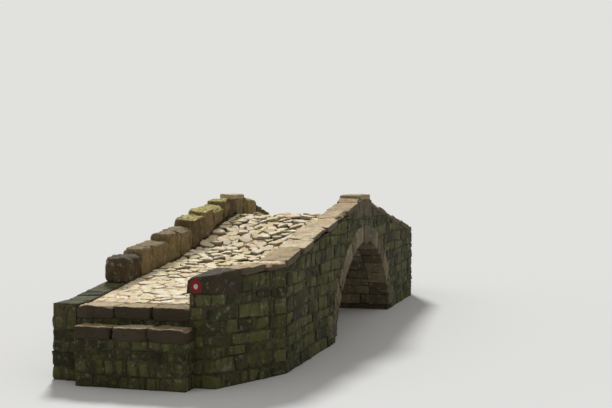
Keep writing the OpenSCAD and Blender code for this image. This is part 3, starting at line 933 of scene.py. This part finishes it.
def paint_mark(material):
    """Mixes paint into a stone's colour on its near end. The ring and the spot are what lies within a
    distance of the mark's middle. Each is given by that distance, by how tall it is for its width, which
    divides the heights, and by how much noise moves its edge."""
    tree = material.node_tree
    shader = tree.nodes["Principled BSDF"]
    stone = shader.inputs["Base Color"].links[0].from_socket
    where = add(tree, "TexCoord", {}).outputs["Object"]
    split = add(tree, "SeparateXYZ", {0: where})
    rough = math_of(tree, "SUBTRACT", noise(tree, where, 0.03, 4.0), 0.5)
    within = []
    for radius, tall, wobble in (mark_ring, mark_spot):
        up = math_of(tree, "DIVIDE", split.outputs["Z"], tall)
        flat = add(tree, "CombineXYZ", {"Y": split.outputs["Y"], "Z": up}).outputs[0]
        middle = (0, mark_middle[0], mark_middle[1] / tall)
        away = add(tree, "VectorMath", {0: flat, 1: middle}, operation="DISTANCE").outputs["Value"]
        away = math_of(tree, "ADD", away, times(tree, rough, wobble))
        within.append(between(tree, away, radius + mark_edge, radius - mark_edge))
    paint = blend(tree, within[1], colour(mark_red), colour(mark_pale))
    on_end = math_of(tree, "LESS_THAN", split.outputs["X"], -bridge_end_x + mark_deep)
    worn = between(tree, noise(tree, where, 0.012, 5.0), 0.30, 0.42)
    cover = times(tree, times(tree, within[0], on_end), worn)
    tree.links.new(blend(tree, cover, stone, paint), shader.inputs["Base Color"])


rng = np.random.default_rng(71)
end_block = block_grid(12, 10, 9)
for end in ("near", "far"):
    end_stone = stone_finish(end + "_end_stone", end_pale, end_dark, moss=0.30, lichen=0.2, grain=0.6)
    corners = np.array([end_corners(points) for points in solids_of(end + "_end_stone")])
    if end == "near":
        corners[:, 0, 1, 1, 2] -= broken_corner
        corners[:, 0, 0, 1, 2] -= worn_corner
        corners[:, :, 1, :, 1] += inner_overhang
        paint_mark(end_stone)
    stones = rough_stones(corners, end_block, rng, radius=0.018, swell=0.007, chips=8, chip_depth=0.04)
    joined_mesh(end + "_end_block", [stones], end_stone, [end + "_end_stone"])

# Crest: at the crown each parapet rises to two taller stones under one flat cap slab, and a stone leans
# against them at either end, its top sloping up to the slab. The left slab has lost its near outer corner.
cap_pale = (222, 208, 178)
cap_dark = (166, 152, 120)
crest_joint = 0.012
crest_lap = 0.040
lap_end = 0.05
lap_left = 1.2
lost_corner = 0.50
middle_shift = 0.08
rng = np.random.default_rng(83)
cap_stone = stone_finish("cap_stone", cap_pale, cap_dark, moss=0.12, lichen=0.4, upright_shade=0.35)
cap_block = block_grid(20, 10, 5)
for side in ("right", "left"):
    block, (low, high) = solids_of(side + "_crest_block")[0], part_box(side + "_crest_block")
    bed_end = block[block[:, 2] > high.z - same_plane, 0].max()
    foot_z = block[block[:, 0] > high.x - same_plane, 2].max()
    slab = end_corners(solids_of(side + "_crest_cap")[0])
    middle = rng.uniform(-middle_shift, middle_shift)
    joints = np.array([low.x, slab[0, 0, 0, 0] - crest_joint, middle, slab[1, 0, 0, 0] + crest_joint, high.x])
    corners = []
    for first, last in zip(joints[:-1], joints[1:]):
        ends = np.array([first + crest_joint / 2, last - crest_joint / 2])
        x, y, share = np.meshgrid(ends, (low.y, high.y), (0, 1), indexing="ij")
        leans = abs(first + last) > high.x
        lap = crest_lap * (np.abs(x) < high.x - lap_end) * leans * (y < lap_left)
        top = np.interp(np.abs(x), (bed_end, high.x), (high.z, foot_z)) + lap
        corners.append(np.stack([x, y, road(x) + share * (top - road(x))], -1))
    corners = np.array(corners)
    stones = rough_stones(corners, upright_block, rng, radius=0.010, swell=0.008, chips=8, chip_depth=0.04)
    stone = upright_stone if side == "left" else coping_stone
    joined_mesh(side + "_crest_stones", [stones], stone, [side + "_crest_block"])
    if side == "left":
        slab[0, 1, :, 0] += lost_corner
    stones = rough_stones(slab[None], cap_block, rng, radius=0.014, swell=0.006, chips=10, chip_depth=0.04)
    joined_mesh(side + "_cap_slab", [stones], cap_stone, [side + "_crest_cap"])

# Camera at the photograph's viewing angle, to the right of the roadway's line, with a long lens.
camera_place = (-17.59, -5.35, 2.61)
camera_heading = 16.0
camera_down = 1.4
lens_pixels = 1000.0
image_pixels = 612.0
sensor = 36.0
camera = bpy.data.objects.new("camera", bpy.data.cameras.new("camera"))
camera.data.sensor_width = sensor
camera.data.lens = sensor * lens_pixels / image_pixels
camera.location = camera_place
camera.rotation_euler = (math.radians(90 - camera_down), 0, math.radians(camera_heading - 90))
bpy.context.scene.collection.objects.link(camera)
bpy.context.scene.camera = camera

# Plain pale floor, even soft light from all round, and one broad lamp high behind the bridge. The camera
# sees the world in the pale grey that the lit floor has.
floor_size = 400.0
floor_grey = (0.70, 0.70, 0.69, 1)
backdrop_grey = (0.757, 0.755, 0.735, 1)
sky_white = (1.0, 0.99, 0.97, 1)
light_from = (0.82, 0.38, 0.76)
lamp_strength = 2.95
lamp_spread = 10.0
sky_strength = 0.475
floor_mesh = bpy.data.meshes.new("floor")
corners = [(x * floor_size / 2, y * floor_size / 2, 0) for x, y in ((-1, -1), (1, -1), (1, 1), (-1, 1))]
floor_mesh.from_pydata(corners, [], [(0, 1, 2, 3)])
floor_material, _, shader, _ = new_material("floor", 0.9)
shader.inputs["Base Color"].default_value = floor_grey
shader.inputs["Specular IOR Level"].default_value = 0.0
floor_mesh.materials.append(floor_material)
floor = bpy.data.objects.new("floor", floor_mesh)
bpy.context.scene.collection.objects.link(floor)
lamp = bpy.data.objects.new("lamp", bpy.data.lights.new("lamp", "SUN"))
lamp.data.energy = lamp_strength
lamp.data.angle = math.radians(lamp_spread)
lamp.rotation_euler = Vector(light_from).to_track_quat("Z", "Y").to_euler()
bpy.context.scene.collection.objects.link(lamp)
world = bpy.data.worlds.new("world")
world.use_nodes = True
tree = world.node_tree
ray = add(tree, "LightPath", {}).outputs
seen = math_of(tree, "MAXIMUM", ray["Is Camera Ray"], ray["Is Glossy Ray"])
seen = math_of(tree, "MAXIMUM", seen, ray["Is Transmission Ray"])
sky = tree.nodes["Background"]
sky.inputs["Color"].default_value = sky_white
sky.inputs["Strength"].default_value = sky_strength
backdrop = add(tree, "Background", {"Color": backdrop_grey})
shown = add(tree, "MixShader", {0: seen, 1: sky.outputs[0], 2: backdrop.outputs[0]})
tree.links.new(shown.outputs[0], tree.nodes["World Output"].inputs["Surface"])
bpy.context.scene.world = world
bpy.context.scene.view_settings.view_transform = "Standard"
